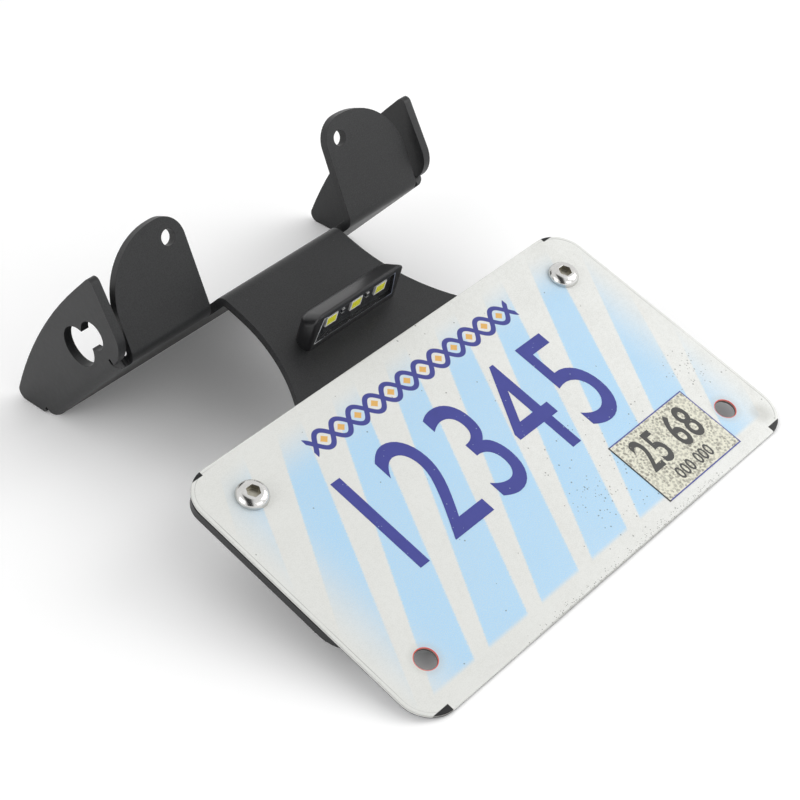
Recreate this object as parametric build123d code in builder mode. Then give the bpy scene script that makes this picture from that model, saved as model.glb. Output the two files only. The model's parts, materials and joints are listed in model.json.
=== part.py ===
from build123d import *
from math import atan2, cos, degrees, radians, sin
import os

# Tail tidy at rest on a table: one folded steel sheet that carries a number plate and its lamp.
# Millimetres. X runs along the plate, Y from the plate's lower edge back to the ears, Z is up.

# Number plate
plate_w = 177.8
plate_h = 101.6
plate_t = 1.2
plate_corner_r = 11.0
plate_hole_edge = 15.875
plate_hole_d = 7.0
plate_edge_r = 0.4

# Registration sticker, placed from the plate's right and lower edges
sticker_w = 38.1
sticker_h = 25.4
sticker_t = 0.15
sticker_side = 22.65
sticker_low = 4.5

# Folded sheet
sheet_t = 3.0
bend_r = 1.5
ear_bend_r = 0.5

# Flat behind the plate and the neck above it, placed from the plate's edges
backing_lip = 0.1
backing_drop = 2.3
backing_h = 71.5
backing_top_r = 8.0
backing_bottom_r = 14.0
neck_w = 52.6
neck_rise = 43.2
neck_straight = 6.0
flare_spread = 13.0
flare_corner_r = 4.0

# Base, folded back from the neck's top edge
base_fold = 64.0
base_d = 52.0

# Fixing tabs, folded up from the base's front edge
tab_fold = 65.0
tab_bend_d = 0.2
tab_in = 32.1
tab_out = 65.0
tab_h = 33.2
tab_in_r = 8.5
tab_out_r = 23.0
tab_hole_side = 6.3
tab_hole_top = 7.2
tab_hole_d = 5.3
slot_d = 5.0

# Ears for the indicators, folded up from the base's ends: d back along the base, h up from it
ear_span = 142.0
ear_front_d = 0.0
ear_foot_h = 2.4
ear_slot_w = 1.0
ear_slot_rise = 1.0
ear_nose_d = -8.8
ear_nose_r = 10.0
ear_h = 27.5
ear_tip_d = -17.7
ear_tip_r = 2.0
ear_crown_d = -6.0
ear_crown_drop = 13.7
ear_heel_d = 64.4
ear_heel_r = 3.0
ear_tail_d = 2.8
ear_tail_h = 3.6
corner_hole_d = 2.0
stem_hole_d = 10.0
entry_hole_d = 14.0
stem_d = 0.5
entry_pitch = 10.3
stem_h = 13.3

# Fasteners of the plate
screw_d = 6.0
screw_end = 1.5
head_d = 10.5
head_h = 2.6
head_edge = 0.5
head_flat_d = 5.4
socket_af = 4.0
socket_depth = 1.8
nut_af = 10.0
nut_h = 5.0
washer_d = 12.0
washer_t = 1.6
thread_clear = 0.1
hole_clear = 0.4

# Lamp on the neck: v back from its front, w up from the neck
lamp_rise = 13.0
lamp_len = 40.6
lamp_depth = 7.7
lamp_brow = 1.2
lamp_brow_h = 14.0
lamp_h = 15.2
lamp_back_h = 10.0
lamp_edge_r = 0.8
lamp_end_cut = 1.0
lamp_end_r = 2.5
window_w = 36.4
window_top_w = 33.0
window_low = 2.2
window_h = 11.2
lens_inset = 0.05
lens_t = 0.5
lens_clear = 0.1
led_gap = 0.1
led_w = 5.0
led_h = 4.2
led_t = 0.8
led_pitch = 11.2
led_w_pos = 9.0
phosphor_rim = 0.5
phosphor_t = 0.4
board_t = 1.0
resistor_w = 2.0
resistor_h = 1.25
resistor_t = 0.5

# Lamp fixings and the cable's way through the neck
lamp_screw_d = 3.0
lamp_screw_grip = 5.0
lamp_screw_pitch = 26.0
lamp_screw_head_d = 5.6
lamp_screw_head_h = 2.0
lamp_fix_v = 5.4
cable_d = 3.4
grommet_d = 7.0
grommet_flange_d = 9.6
grommet_flange_t = 1.2

os.makedirs("parts", exist_ok=True)

# Heights above the plate's centre, and what lines up with the plate's edges
plate_top = plate_h / 2
backing_top = plate_top - backing_drop
backing_bottom = backing_top - backing_h
neck_top = plate_top + neck_rise
lamp_u = plate_top + lamp_rise
backing_w = plate_w + 2 * backing_lip
plate_hole_w = plate_w - 2 * plate_hole_edge
plate_hole_h = plate_h - 2 * plate_hole_edge
sticker_x = plate_w / 2 - sticker_side - sticker_w / 2
sticker_u = sticker_low + sticker_h / 2 - plate_top

# Levels below the plate's face, and the radii of the bends' outer faces
sheet_front = -plate_t
sheet_back = sheet_front - sheet_t
bend_out = bend_r + sheet_t
ear_bend_out = ear_bend_r + sheet_t

# Where the base's underside starts, seen from the side in the plate's own axes
fold = radians(base_fold)
base_u = neck_top + bend_r * sin(fold)
base_n = sheet_back - bend_r + bend_r * cos(fold)

# The plate's lower edge and the base's back edge both lie on the table
back_u = base_u + base_d * cos(fold)
back_n = base_n - base_d * sin(fold)
tilt = atan2(sheet_front - back_n, back_u + plate_top)

# Outline of an ear, with d to the right and h up
ear_low = ear_bend_out + ear_slot_rise
ear_slot_front = ear_front_d - ear_slot_w
ear_slot_back = base_d + ear_slot_w
with BuildSketch() as ear_outline:
    with BuildLine():
        crown = Line((ear_tip_d, ear_h), (ear_crown_d, ear_h))
        top = TangentArc(crown @ 1, (ear_heel_d, ear_h - ear_crown_drop), tangent=crown % 1)
        Polyline(
            top @ 1,
            (base_d + ear_tail_d, ear_tail_h),
            (ear_slot_back, ear_tail_h),
            (ear_slot_back, ear_low),
            (base_d, ear_low),
            (base_d, ear_bend_out),
            (ear_front_d, ear_bend_out),
            (ear_front_d, ear_low),
            (ear_slot_front, ear_low),
            (ear_slot_front, ear_foot_h),
            (ear_nose_d, ear_foot_h),
            crown @ 0,
        )
    make_face()
    corners = ear_outline.vertices()
    fillet(corners.sort_by_distance((ear_nose_d, ear_foot_h))[0], ear_nose_r)
    fillet(ear_outline.vertices().sort_by_distance(crown @ 0)[0], ear_tip_r)
    fillet(ear_outline.vertices().sort_by_distance(top @ 1)[0], ear_heel_r)
    with Locations((stem_d, stem_h)):
        Circle(stem_hole_d / 2, mode=Mode.SUBTRACT)
    with Locations((stem_d + entry_pitch, stem_h)):
        Circle(entry_hole_d / 2, mode=Mode.SUBTRACT)

# The frame's origin is under the middle of the whole length
heel_reach = ear_outline.sketch.rotate(Axis.Z, degrees(tilt) - base_fold).bounding_box().max.X
base_y = base_u * cos(tilt) - base_n * sin(tilt)
plate_reach = plate_top * cos(tilt) - plate_edge_r * sin(tilt)
plate_y = (plate_reach - base_y - heel_reach) / 2
plate_z = plate_top * sin(tilt) + plate_t * cos(tilt)

# Planes of the panels: the plate's face, the base's underside and the tabs' front
plate_plane = Plane((0, plate_y, plate_z), x_dir=(1, 0, 0), z_dir=(0, -sin(tilt), cos(tilt)))
lean = fold - tilt
base_origin = plate_plane.from_local_coords((0, base_u, base_n))
base_plane = Plane(base_origin, x_dir=(1, 0, 0), z_dir=(0, sin(lean), cos(lean)))
ear_plane = Plane(base_origin, x_dir=base_plane.y_dir, z_dir=(1, 0, 0))
side_plane = Plane(plate_plane.origin, x_dir=plate_plane.y_dir, z_dir=(1, 0, 0))
rise = radians(tab_fold)
tab_d = tab_bend_d - bend_out * sin(rise)
tab_start_h = bend_out - bend_out * cos(rise)
tab_plane = Plane(
    base_plane.from_local_coords((0, tab_d, tab_start_h)),
    x_dir=(1, 0, 0),
    z_dir=base_plane.y_dir * -sin(rise) - base_plane.z_dir * cos(rise),
)


def bend_section(center, inner_r, start, turn):
    """A bend seen along its fold line: a ring sector as thick as the sheet."""
    with BuildSketch() as section:
        with BuildLine():
            inner = CenterArc(center, inner_r, start, turn)
            outer = CenterArc(center, inner_r + sheet_t, start, turn)
            Line(inner @ 0, outer @ 0)
            Line(inner @ 1, outer @ 1)
        make_face()
    return section.sketch


# Bracket: backing and neck, base, fixing tabs and ears in one sheet
flare_top = neck_top - neck_straight
ear_bend_x = ear_span / 2 - ear_bend_out
with BuildPart() as bracket:
    with BuildSketch(plate_plane.offset(sheet_back)) as backing:
        with BuildLine():
            neck = Polyline((0, neck_top), (neck_w / 2, neck_top), (neck_w / 2, flare_top))
            foot = (neck_w / 2 + flare_spread, backing_top)
            TangentArc(neck @ 1, foot, tangent=(0, -1))
            Polyline(
                foot,
                (backing_w / 2, backing_top),
                (backing_w / 2, backing_bottom),
                (0, backing_bottom),
                (0, neck_top),
            )
        make_face()
        fillet(backing.vertices().sort_by_distance(foot)[0], flare_corner_r)
        fillet(backing.vertices().sort_by_distance((backing_w / 2, backing_top))[0], backing_top_r)
        fillet(backing.vertices().sort_by_distance((backing_w / 2, backing_bottom))[0], backing_bottom_r)
        with Locations((plate_hole_w / 2, plate_hole_h / 2)):
            Circle(plate_hole_d / 2, mode=Mode.SUBTRACT)
        with Locations((lamp_screw_pitch / 2, lamp_u + lamp_fix_v)):
            Circle((lamp_screw_d + hole_clear) / 2, mode=Mode.SUBTRACT)
        with Locations((0, lamp_u + lamp_fix_v)):
            Circle(grommet_d / 2, mode=Mode.SUBTRACT)
    extrude(amount=sheet_t)

    with BuildSketch(side_plane):
        add(bend_section((neck_top, sheet_back - bend_r), bend_r, 90, -base_fold))
    extrude(amount=neck_w / 2)

    slot_r = (tab_in - neck_w / 2) / 2
    with BuildSketch(base_plane):
        with BuildLine():
            Polyline((0, base_d), (0, 0), (neck_w / 2, 0), (neck_w / 2, slot_d - slot_r))
            CenterArc((neck_w / 2 + slot_r, slot_d - slot_r), slot_r, 180, -180)
            Polyline(
                (tab_in, slot_d - slot_r),
                (tab_in, tab_bend_d),
                (ear_bend_x, tab_bend_d),
                (ear_bend_x, base_d),
                (0, base_d),
            )
        make_face()
    extrude(amount=sheet_t)

    with BuildSketch(ear_plane.offset(tab_in)):
        add(bend_section((tab_bend_d, bend_out), bend_r, -90, -tab_fold))
    extrude(amount=tab_out - tab_in)
    with BuildSketch(tab_plane) as tab:
        with Locations(((tab_in + tab_out) / 2, tab_h / 2)):
            Rectangle(tab_out - tab_in, tab_h)
        fillet(tab.vertices().sort_by_distance((tab_in, tab_h))[0], tab_in_r)
        fillet(tab.vertices().sort_by_distance((tab_out, tab_h))[0], tab_out_r)
        with Locations((tab_in + tab_hole_side, tab_h - tab_hole_top)):
            Circle(tab_hole_d / 2, mode=Mode.SUBTRACT)
    extrude(amount=-sheet_t)

    ear_bend_plane = Plane(
        base_plane.from_local_coords((0, ear_front_d, 0)), x_dir=(1, 0, 0), z_dir=-base_plane.y_dir
    )
    with BuildSketch(ear_bend_plane):
        add(bend_section((ear_bend_x, ear_bend_out), ear_bend_r, -90, 90))
    extrude(amount=ear_front_d - base_d)
    with BuildSketch(ear_plane.offset(ear_span / 2)):
        add(ear_outline.sketch)
    extrude(amount=-sheet_t)

    with BuildSketch(base_plane):
        with Locations(((tab_out + ear_bend_x) / 2, tab_bend_d)):
            Circle(corner_hole_d / 2)
    extrude(amount=bend_out, mode=Mode.SUBTRACT)
    mirror(about=Plane.YZ)
bracket.part.label = "bracket"
export_step(bracket.part, "parts/bracket.step")

# Number plate: thin sheet with four holes and a rounded edge to its face
with BuildPart() as number_plate:
    with BuildSketch(plate_plane):
        RectangleRounded(plate_w, plate_h, plate_corner_r)
    extrude(amount=-plate_t)
    plate_face = number_plate.faces().sort_by(Axis(plate_plane.origin, plate_plane.z_dir))[-1]
    fillet(plate_face.edges(), plate_edge_r)
    with BuildSketch(plate_plane):
        with GridLocations(plate_hole_w, plate_hole_h, 2, 2):
            Circle(plate_hole_d / 2)
    extrude(amount=-plate_t, mode=Mode.SUBTRACT)
number_plate.part.label = "number_plate"
export_step(number_plate.part, "parts/number_plate.step")

# Sticker on the plate's lower right
with BuildPart() as registration_sticker:
    with BuildSketch(plate_plane):
        with Locations((sticker_x, sticker_u)):
            Rectangle(sticker_w, sticker_h)
    extrude(amount=sticker_t)
registration_sticker.part.label = "registration_sticker"
export_step(registration_sticker.part, "parts/registration_sticker.step")

# Screws through the plate's upper holes, with washers and nuts behind the backing
plate_fixings = [
    (-plate_hole_w / 2, plate_hole_h / 2),
    (plate_hole_w / 2, plate_hole_h / 2),
]
washer_back = sheet_back - washer_t
nut_back = washer_back - nut_h
fixing_origin = plate_plane.from_local_coords((plate_hole_w / 2, plate_hole_h / 2, 0))
with BuildPart() as plate_screws:
    with BuildSketch(Plane(fixing_origin, x_dir=(1, 0, 0), z_dir=-plate_plane.y_dir)):
        with BuildLine():
            shank = nut_back - screw_end
            under = Polyline(
                (0, head_h),
                (0, shank),
                (screw_d / 2, shank),
                (screw_d / 2, 0),
                (head_d / 2, 0),
                (head_d / 2, head_edge),
            )
            flat = Line((0, head_h), (head_flat_d / 2, head_h))
            TangentArc(flat @ 1, under @ 1, tangent=flat % 1)
        make_face()
    revolve(axis=Axis(fixing_origin, plate_plane.z_dir))
    with BuildSketch(Plane(fixing_origin, (1, 0, 0), plate_plane.z_dir).offset(head_h)):
        RegularPolygon(socket_af / 2, 6, major_radius=False)
    extrude(amount=-socket_depth, mode=Mode.SUBTRACT)
    mirror(about=Plane.YZ)
plate_screws.part.label = "plate_screws"
export_step(plate_screws.part, "parts/plate_screws.step")

with BuildPart() as plate_washers:
    with BuildSketch(plate_plane.offset(washer_back)):
        with Locations(plate_fixings):
            Circle(washer_d / 2)
            Circle((screw_d + hole_clear) / 2, mode=Mode.SUBTRACT)
    extrude(amount=washer_t)
plate_washers.part.label = "plate_washers"
export_step(plate_washers.part, "parts/plate_washers.step")

with BuildPart() as plate_nuts:
    with BuildSketch(plate_plane.offset(nut_back)):
        with Locations(plate_fixings):
            RegularPolygon(nut_af / 2, 6, major_radius=False)
            Circle((screw_d + thread_clear) / 2, mode=Mode.SUBTRACT)
    extrude(amount=nut_h)
plate_nuts.part.label = "plate_nuts"
export_step(plate_nuts.part, "parts/plate_nuts.step")

# Lamp planes: its foot on the neck, its side view and its front
lamp_foot = Plane(plate_plane.from_local_coords((0, lamp_u, sheet_front)), (1, 0, 0), plate_plane.z_dir)
lamp_side = Plane(lamp_foot.origin, x_dir=lamp_foot.y_dir, z_dir=(1, 0, 0))
lamp_front = Plane(lamp_foot.origin, x_dir=(1, 0, 0), z_dir=-lamp_foot.y_dir)
lamp_fixings = [(-lamp_screw_pitch / 2, lamp_fix_v), (lamp_screw_pitch / 2, lamp_fix_v)]
led_places = [(-led_pitch, led_w_pos), (0, led_w_pos), (led_pitch, led_w_pos)]
resistor_places = [(-led_pitch / 2, led_w_pos), (led_pitch / 2, led_w_pos)]

# Depths behind the lamp's front
led_front = lens_inset + lens_t + led_gap
board_front = led_front + led_t
recess = board_front + board_t


def window_outline(inset):
    """The lamp's window, narrower at its top, drawn in by a clearance on every side."""
    with BuildSketch() as outline:
        with BuildLine():
            Polyline(
                (-window_w / 2, window_low),
                (window_w / 2, window_low),
                (window_top_w / 2, window_low + window_h),
                (-window_top_w / 2, window_low + window_h),
                close=True,
            )
        make_face()
        if inset > 0:
            offset(amount=-inset, kind=Kind.INTERSECTION, mode=Mode.REPLACE)
    return outline.sketch


# Lamp housing: a ridged bar with rounded ends, a window in its front and blind holes in its foot
with BuildPart() as lamp_housing:
    with BuildSketch(lamp_side) as lamp_profile:
        with BuildLine():
            Polyline(
                (0, 0),
                (0, lamp_brow_h),
                (lamp_brow, lamp_h),
                (lamp_depth, lamp_back_h),
                (lamp_depth, 0),
                close=True,
            )
        make_face()
        fillet(lamp_profile.vertices().group_by(Axis.Y)[1:], lamp_edge_r)
    extrude(amount=lamp_len / 2, both=True)
    with BuildSketch(lamp_foot) as lamp_plan:
        with Locations((0, lamp_depth / 2)):
            Rectangle(lamp_len, lamp_depth)
        chamfer(lamp_plan.vertices().group_by(Axis.Y)[0], lamp_end_cut)
        fillet(lamp_plan.vertices().group_by(Axis.Y)[-1], lamp_end_r)
    extrude(amount=lamp_h, mode=Mode.INTERSECT)
    with BuildSketch(lamp_front):
        add(window_outline(0))
    extrude(amount=-recess, mode=Mode.SUBTRACT)
    with BuildSketch(lamp_foot):
        with Locations(lamp_fixings):
            Circle((lamp_screw_d + thread_clear) / 2)
    extrude(amount=lamp_screw_grip + hole_clear, mode=Mode.SUBTRACT)
lamp_housing.part.label = "lamp_housing"
export_step(lamp_housing.part, "parts/lamp_housing.step")

# Clear lens that closes the window
with BuildPart() as lamp_lens:
    with BuildSketch(lamp_front.offset(-lens_inset)):
        add(window_outline(lens_clear))
    extrude(amount=-lens_t)
lamp_lens.part.label = "lamp_lens"
export_step(lamp_lens.part, "parts/lamp_lens.step")

# Circuit board on the window's floor
with BuildPart() as lamp_circuit_board:
    with BuildSketch(lamp_front.offset(-board_front)):
        add(window_outline(lens_clear))
    extrude(amount=-board_t)
lamp_circuit_board.part.label = "lamp_circuit_board"
export_step(lamp_circuit_board.part, "parts/lamp_circuit_board.step")

# Light-emitting diodes: white packages with a pocket for the phosphor
with BuildPart() as led_packages:
    with BuildSketch(lamp_front.offset(-board_front)):
        with Locations(led_places):
            Rectangle(led_w, led_h)
    extrude(amount=led_t)
    with BuildSketch(lamp_front.offset(-led_front)):
        with Locations(led_places):
            Rectangle(led_w - 2 * phosphor_rim, led_h - 2 * phosphor_rim)
    extrude(amount=-phosphor_t, mode=Mode.SUBTRACT)
led_packages.part.label = "led_packages"
export_step(led_packages.part, "parts/led_packages.step")

with BuildPart() as led_phosphors:
    with BuildSketch(lamp_front.offset(-led_front)):
        with Locations(led_places):
            Rectangle(led_w - 2 * phosphor_rim, led_h - 2 * phosphor_rim)
    extrude(amount=-phosphor_t)
led_phosphors.part.label = "led_phosphors"
export_step(led_phosphors.part, "parts/led_phosphors.step")

# Chip resistors between the diodes
with BuildPart() as lamp_resistors:
    with BuildSketch(lamp_front.offset(-board_front)):
        with Locations(resistor_places):
            Rectangle(resistor_h, resistor_w)
    extrude(amount=resistor_t)
lamp_resistors.part.label = "lamp_resistors"
export_step(lamp_resistors.part, "parts/lamp_resistors.step")

# Screws that hold the lamp from behind the neck
neck_back = lamp_foot.offset(-sheet_t)
with BuildPart() as lamp_screws:
    with BuildSketch(neck_back):
        with Locations(lamp_fixings):
            Circle(lamp_screw_head_d / 2)
    extrude(amount=-lamp_screw_head_h)
    with BuildSketch(neck_back):
        with Locations(lamp_fixings):
            Circle(lamp_screw_d / 2)
    extrude(amount=sheet_t + lamp_screw_grip)
lamp_screws.part.label = "lamp_screws"
export_step(lamp_screws.part, "parts/lamp_screws.step")

# Rubber grommet in the cable's hole, under the lamp
with BuildPart() as cable_grommet:
    with BuildSketch(neck_back):
        with Locations((0, lamp_fix_v)):
            Circle(grommet_flange_d / 2)
    extrude(amount=-grommet_flange_t)
    with BuildSketch(neck_back):
        with Locations((0, lamp_fix_v)):
            Circle((grommet_d - thread_clear) / 2)
    extrude(amount=sheet_t)
    with BuildSketch(neck_back.offset(-grommet_flange_t)):
        with Locations((0, lamp_fix_v)):
            Circle(cable_d / 2)
    extrude(amount=sheet_t + grommet_flange_t, mode=Mode.SUBTRACT)
cable_grommet.part.label = "cable_grommet"
export_step(cable_grommet.part, "parts/cable_grommet.step")
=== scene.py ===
"""Looks of a tail tidy: folded black bracket, number plate and lamp on a pale floor."""

import json
import logging
from dataclasses import dataclass, field
from enum import Enum
from functools import reduce
from math import copysign, cos, radians, sin
from typing import Callable, Optional, Protocol, Union

import bpy
from mathutils import Euler, Matrix, Vector


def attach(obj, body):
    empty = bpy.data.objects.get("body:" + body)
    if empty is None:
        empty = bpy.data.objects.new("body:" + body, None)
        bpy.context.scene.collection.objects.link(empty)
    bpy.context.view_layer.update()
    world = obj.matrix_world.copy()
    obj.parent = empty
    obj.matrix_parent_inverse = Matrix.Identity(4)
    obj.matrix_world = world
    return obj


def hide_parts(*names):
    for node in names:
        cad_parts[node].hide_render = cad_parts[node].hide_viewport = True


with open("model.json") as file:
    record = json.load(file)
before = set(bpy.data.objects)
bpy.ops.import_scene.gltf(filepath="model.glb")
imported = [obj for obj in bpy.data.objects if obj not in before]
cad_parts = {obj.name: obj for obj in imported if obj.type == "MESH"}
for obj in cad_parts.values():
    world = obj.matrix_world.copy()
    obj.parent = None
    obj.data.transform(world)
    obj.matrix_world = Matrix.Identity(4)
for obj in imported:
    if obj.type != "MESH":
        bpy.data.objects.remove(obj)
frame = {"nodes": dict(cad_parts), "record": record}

log = logging.getLogger("tail_tidy")

Colour = tuple[float, float, float]
Spot = tuple[float, float, float]
Range = tuple[float, float]
Band = tuple[Range, Range]
Piece = bpy.types.Object
Material = bpy.types.Material
Socket = bpy.types.NodeSocket
Value = Union[float, Socket]
Shaper = Callable[[Piece], None]

MM = 0.001
BODY = "root"
ALONG = Vector((1.0, 0.0, 0.0))
SEEN_RAYS = ("Camera", "Glossy", "Transmission")
SMOOTH_BELOW = radians(32)
SMUDGE: Colour = (0.45, 0.45, 0.42)
# Dark grime, which the plate holes also use as painted shade.
GRIME_AND_SHADE: Colour = (0.075, 0.07, 0.055)
# Black of printed ink, which the plate's side also uses as painted shadow.
INK_AND_SHADOW_BLACK: Colour = (0.005, 0.005, 0.006)


class Slot(Enum):
    """Material slots of the record."""

    COAT = "black_coat"
    PLATE = "plate_sheet"
    STICKER = "sticker"
    STEEL = "screw_steel"
    LAMP = "lamp_black"
    LENS = "lamp_clear"
    BOARD = "board"
    LED_FRAME = "led_white"
    PHOSPHOR = "led_yellow"
    CHIP = "resistor"
    DARK_SCREW = "dark_screw"
    RUBBER = "grommet"


@dataclass(frozen=True)
class PlateSize:
    """The plate's outline and holes, in millimetres."""

    width: float = 177.8
    height: float = 101.6
    thickness: float = 1.2
    corner_r: float = 11.0
    hole_edge: float = 15.875
    hole_d: float = 7.0

    @property
    def half_w(self) -> float:
        """Half the plate's width."""
        return self.width / 2

    @property
    def half_h(self) -> float:
        """Half the plate's height."""
        return self.height / 2

    @property
    def hole_x(self) -> float:
        """How far the holes are from the middle, along the plate."""
        return self.half_w - self.hole_edge

    @property
    def hole_u(self) -> float:
        """How far the holes are from the middle, up the plate."""
        return self.half_h - self.hole_edge


PLATE = PlateSize()


@dataclass(frozen=True)
class PlateAxes:
    """The number plate's own axes: X along it, U up it and N out of its face."""

    origin: Vector
    normal: Vector

    @classmethod
    def from_record(cls, record: dict) -> "PlateAxes":
        """Finds the axes from the plate's two lower holes.

        Args:
            record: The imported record.

        Returns:
            The plate's axes, with their origin in the middle of its face.
        """
        mounts = {mount["name"]: mount for mount in record["mounts"]}
        left = mounts["plate_hole_lower_left"]
        right = mounts["plate_hole_lower_right"]
        normal = Vector(left["axis"]).normalized()
        between = (Vector(left["pos_m"]) + Vector(right["pos_m"])) / 2
        to_face = normal.cross(ALONG) * PLATE.hole_u + normal * PLATE.thickness / 2
        return cls(between + to_face * MM, normal)

    @property
    def up(self) -> Vector:
        """Direction up the plate."""
        return self.normal.cross(ALONG)

    @property
    def turn(self) -> Matrix:
        """Turn of the plate's axes against the frame's."""
        return Matrix((ALONG, self.up, self.normal)).transposed()

    def place(self, x: float, u: float, n: float) -> Matrix:
        """A matrix that sets a flat thing down on the plate.

        Args:
            x: Place along the plate, in millimetres.
            u: Place up the plate, in millimetres.
            n: Height over its face, in millimetres.

        Returns:
            The matrix.
        """
        spot = self.origin + (ALONG * x + self.up * u + self.normal * n) * MM
        return Matrix.Translation(spot) @ self.turn.to_4x4()


@dataclass(frozen=True)
class Noise:
    """Soft noise from 0 to 1, and what becomes of it.

    Attributes:
        grain: Size of its blotches, in millimetres.
        detail: Number of finer layers.
        limits: Noise that becomes 0 and noise that becomes 1, for clearer edges.
        cover: What 0 and 1 are spread to in the end.
    """

    grain: float
    detail: float = 2.0
    limits: Optional[Range] = None
    cover: Optional[Range] = None


@dataclass(frozen=True)
class Specks:
    """Small round specks in some of the cells of a loose grid.

    Attributes:
        pitch: Size of a cell, in millimetres.
        radius: Radius of the largest speck, as a part of the cell.
        share: Part of the cells that have one.
        cover: How much they cover what is below.
        flat: Whether the grid lies in the first two coordinates only.
        sizes: Smallest and largest speck, as a part of the radius.
        edge: Where a speck's soft edge ends and starts, as a part of its radius.
    """

    pitch: float
    radius: float
    share: float = 0.0
    cover: float = 1.0
    flat: bool = False
    sizes: Range = (0.45, 1.0)
    edge: Range = (1.0, 0.7)


@dataclass(frozen=True)
class Patch:
    """A soft round patch on the plate, in millimetres."""

    x: float
    u: float
    reach: float
    core: float = 0.25


class NodeKit:
    """Short ways to build the nodes of one material or world."""

    def __init__(self, owner: Union[Material, bpy.types.World], shader: str) -> None:
        """Starts the nodes.

        Args:
            owner: The material or world.
            shader: Name of the shader node that it comes with.
        """
        owner.use_nodes = True
        self.owner = owner
        self.tree = owner.node_tree
        self.shader = self.tree.nodes[shader]

    def new(self, kind: str) -> bpy.types.Node:
        """Adds a shader node of one kind."""
        return self.tree.nodes.new(f"ShaderNode{kind}")

    def put(self, socket: Socket, value: Union[Value, tuple]) -> None:
        """Links a socket to an input, or sets the input to a plain value."""
        if isinstance(value, Socket):
            self.tree.links.new(value, socket)
        else:
            socket.default_value = value

    def set(self, **inputs: Union[Value, tuple]) -> None:
        """Fills the shader's inputs, with underscores for spaces in their names."""
        for name, value in inputs.items():
            self.put(self.shader.inputs[name.replace("_", " ")], value)

    def split(self, vector: Socket) -> tuple[Socket, ...]:
        """The three parts of a vector."""
        node = self.new("SeparateXYZ")
        self.put(node.inputs[0], vector)
        return tuple(node.outputs)

    def math(self, operation: str, a: Value, b: Value = 0.0, clamp: bool = False) -> Socket:
        """One math node.

        Args:
            operation: Its operation.
            a: First value.
            b: Second value, where the operation has one.
            clamp: Whether the result stays from 0 to 1.

        Returns:
            The result.
        """
        node = self.new("Math")
        node.operation = operation
        node.use_clamp = clamp
        self.put(node.inputs[0], a)
        self.put(node.inputs[1], b)
        return node.outputs[0]

    def fold(self, operation: str, values: tuple[Value, ...]) -> Socket:
        """One operation over several values in turn."""
        return reduce(lambda a, b: self.math(operation, a, b), values)

    def plus(self, *values: Value) -> Socket:
        """The sum of several values."""
        return self.fold("ADD", values)

    def minus(self, a: Value, b: Value) -> Socket:
        """The first value less the second."""
        return self.math("SUBTRACT", a, b)

    def times(self, *values: Value) -> Socket:
        """The product of several values."""
        return self.fold("MULTIPLY", values)

    def most(self, *values: Value) -> Socket:
        """The highest of several values."""
        return self.fold("MAXIMUM", values)

    def size(self, value: Value) -> Socket:
        """A value without its sign."""
        return self.math("ABSOLUTE", value)

    def length(self, a: Value, b: Value) -> Socket:
        """The length of a step of a one way and b across it."""
        return self.math("SQRT", self.plus(self.times(a, a), self.times(b, b)))

    def mix(self, a: Value, b: Value, share: float = 0.5) -> Socket:
        """Two values mixed, with the second one's share."""
        return self.plus(self.times(a, 1.0 - share), self.times(b, share))

    def spread(self, value: Value, low: float, high: float) -> Socket:
        """A value from 0 to 1 spread from low to high."""
        node = self.new("MapRange")
        self.put(node.inputs["Value"], value)
        node.inputs["To Min"].default_value = low
        node.inputs["To Max"].default_value = high
        return node.outputs["Result"]

    def step(self, value: Value, low: float, high: float) -> Socket:
        """A soft step.

        Args:
            value: What is compared.
            low: Where the step is 0.
            high: Where it is 1, which may be the lower of the two.

        Returns:
            The step.
        """
        node = self.new("MapRange")
        node.interpolation_type = "SMOOTHSTEP"
        self.put(node.inputs["Value"], value)
        falls = low > high
        node.inputs["From Min"].default_value = min(low, high)
        node.inputs["From Max"].default_value = max(low, high)
        node.inputs["To Min"].default_value = 1.0 if falls else 0.0
        node.inputs["To Max"].default_value = 0.0 if falls else 1.0
        return node.outputs["Result"]

    def past(self, value: Value, limit: float, soft: float) -> Socket:
        """1 above a limit that is soft by so much to each side."""
        return self.step(value, limit - soft, limit + soft)

    def within(self, value: Value, limit: float, soft: float) -> Socket:
        """1 below a limit that is soft by so much to each side."""
        return self.step(value, limit + soft, limit - soft)

    def band(self, value: Value, rise: Range, fall: Range) -> Socket:
        """1 between two soft limits."""
        return self.times(self.step(value, *rise), self.step(value, *fall))

    def grey(self, tone: Socket) -> Socket:
        """A tone as a colour."""
        node = self.new("CombineColor")
        for socket in node.inputs:
            self.put(socket, tone)
        return node.outputs[0]

    def rays(self, *kinds: str) -> Socket:
        """1 for rays of these kinds."""
        path = self.new("LightPath")
        return self.most(*(path.outputs[f"Is {kind} Ray"] for kind in kinds))


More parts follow.
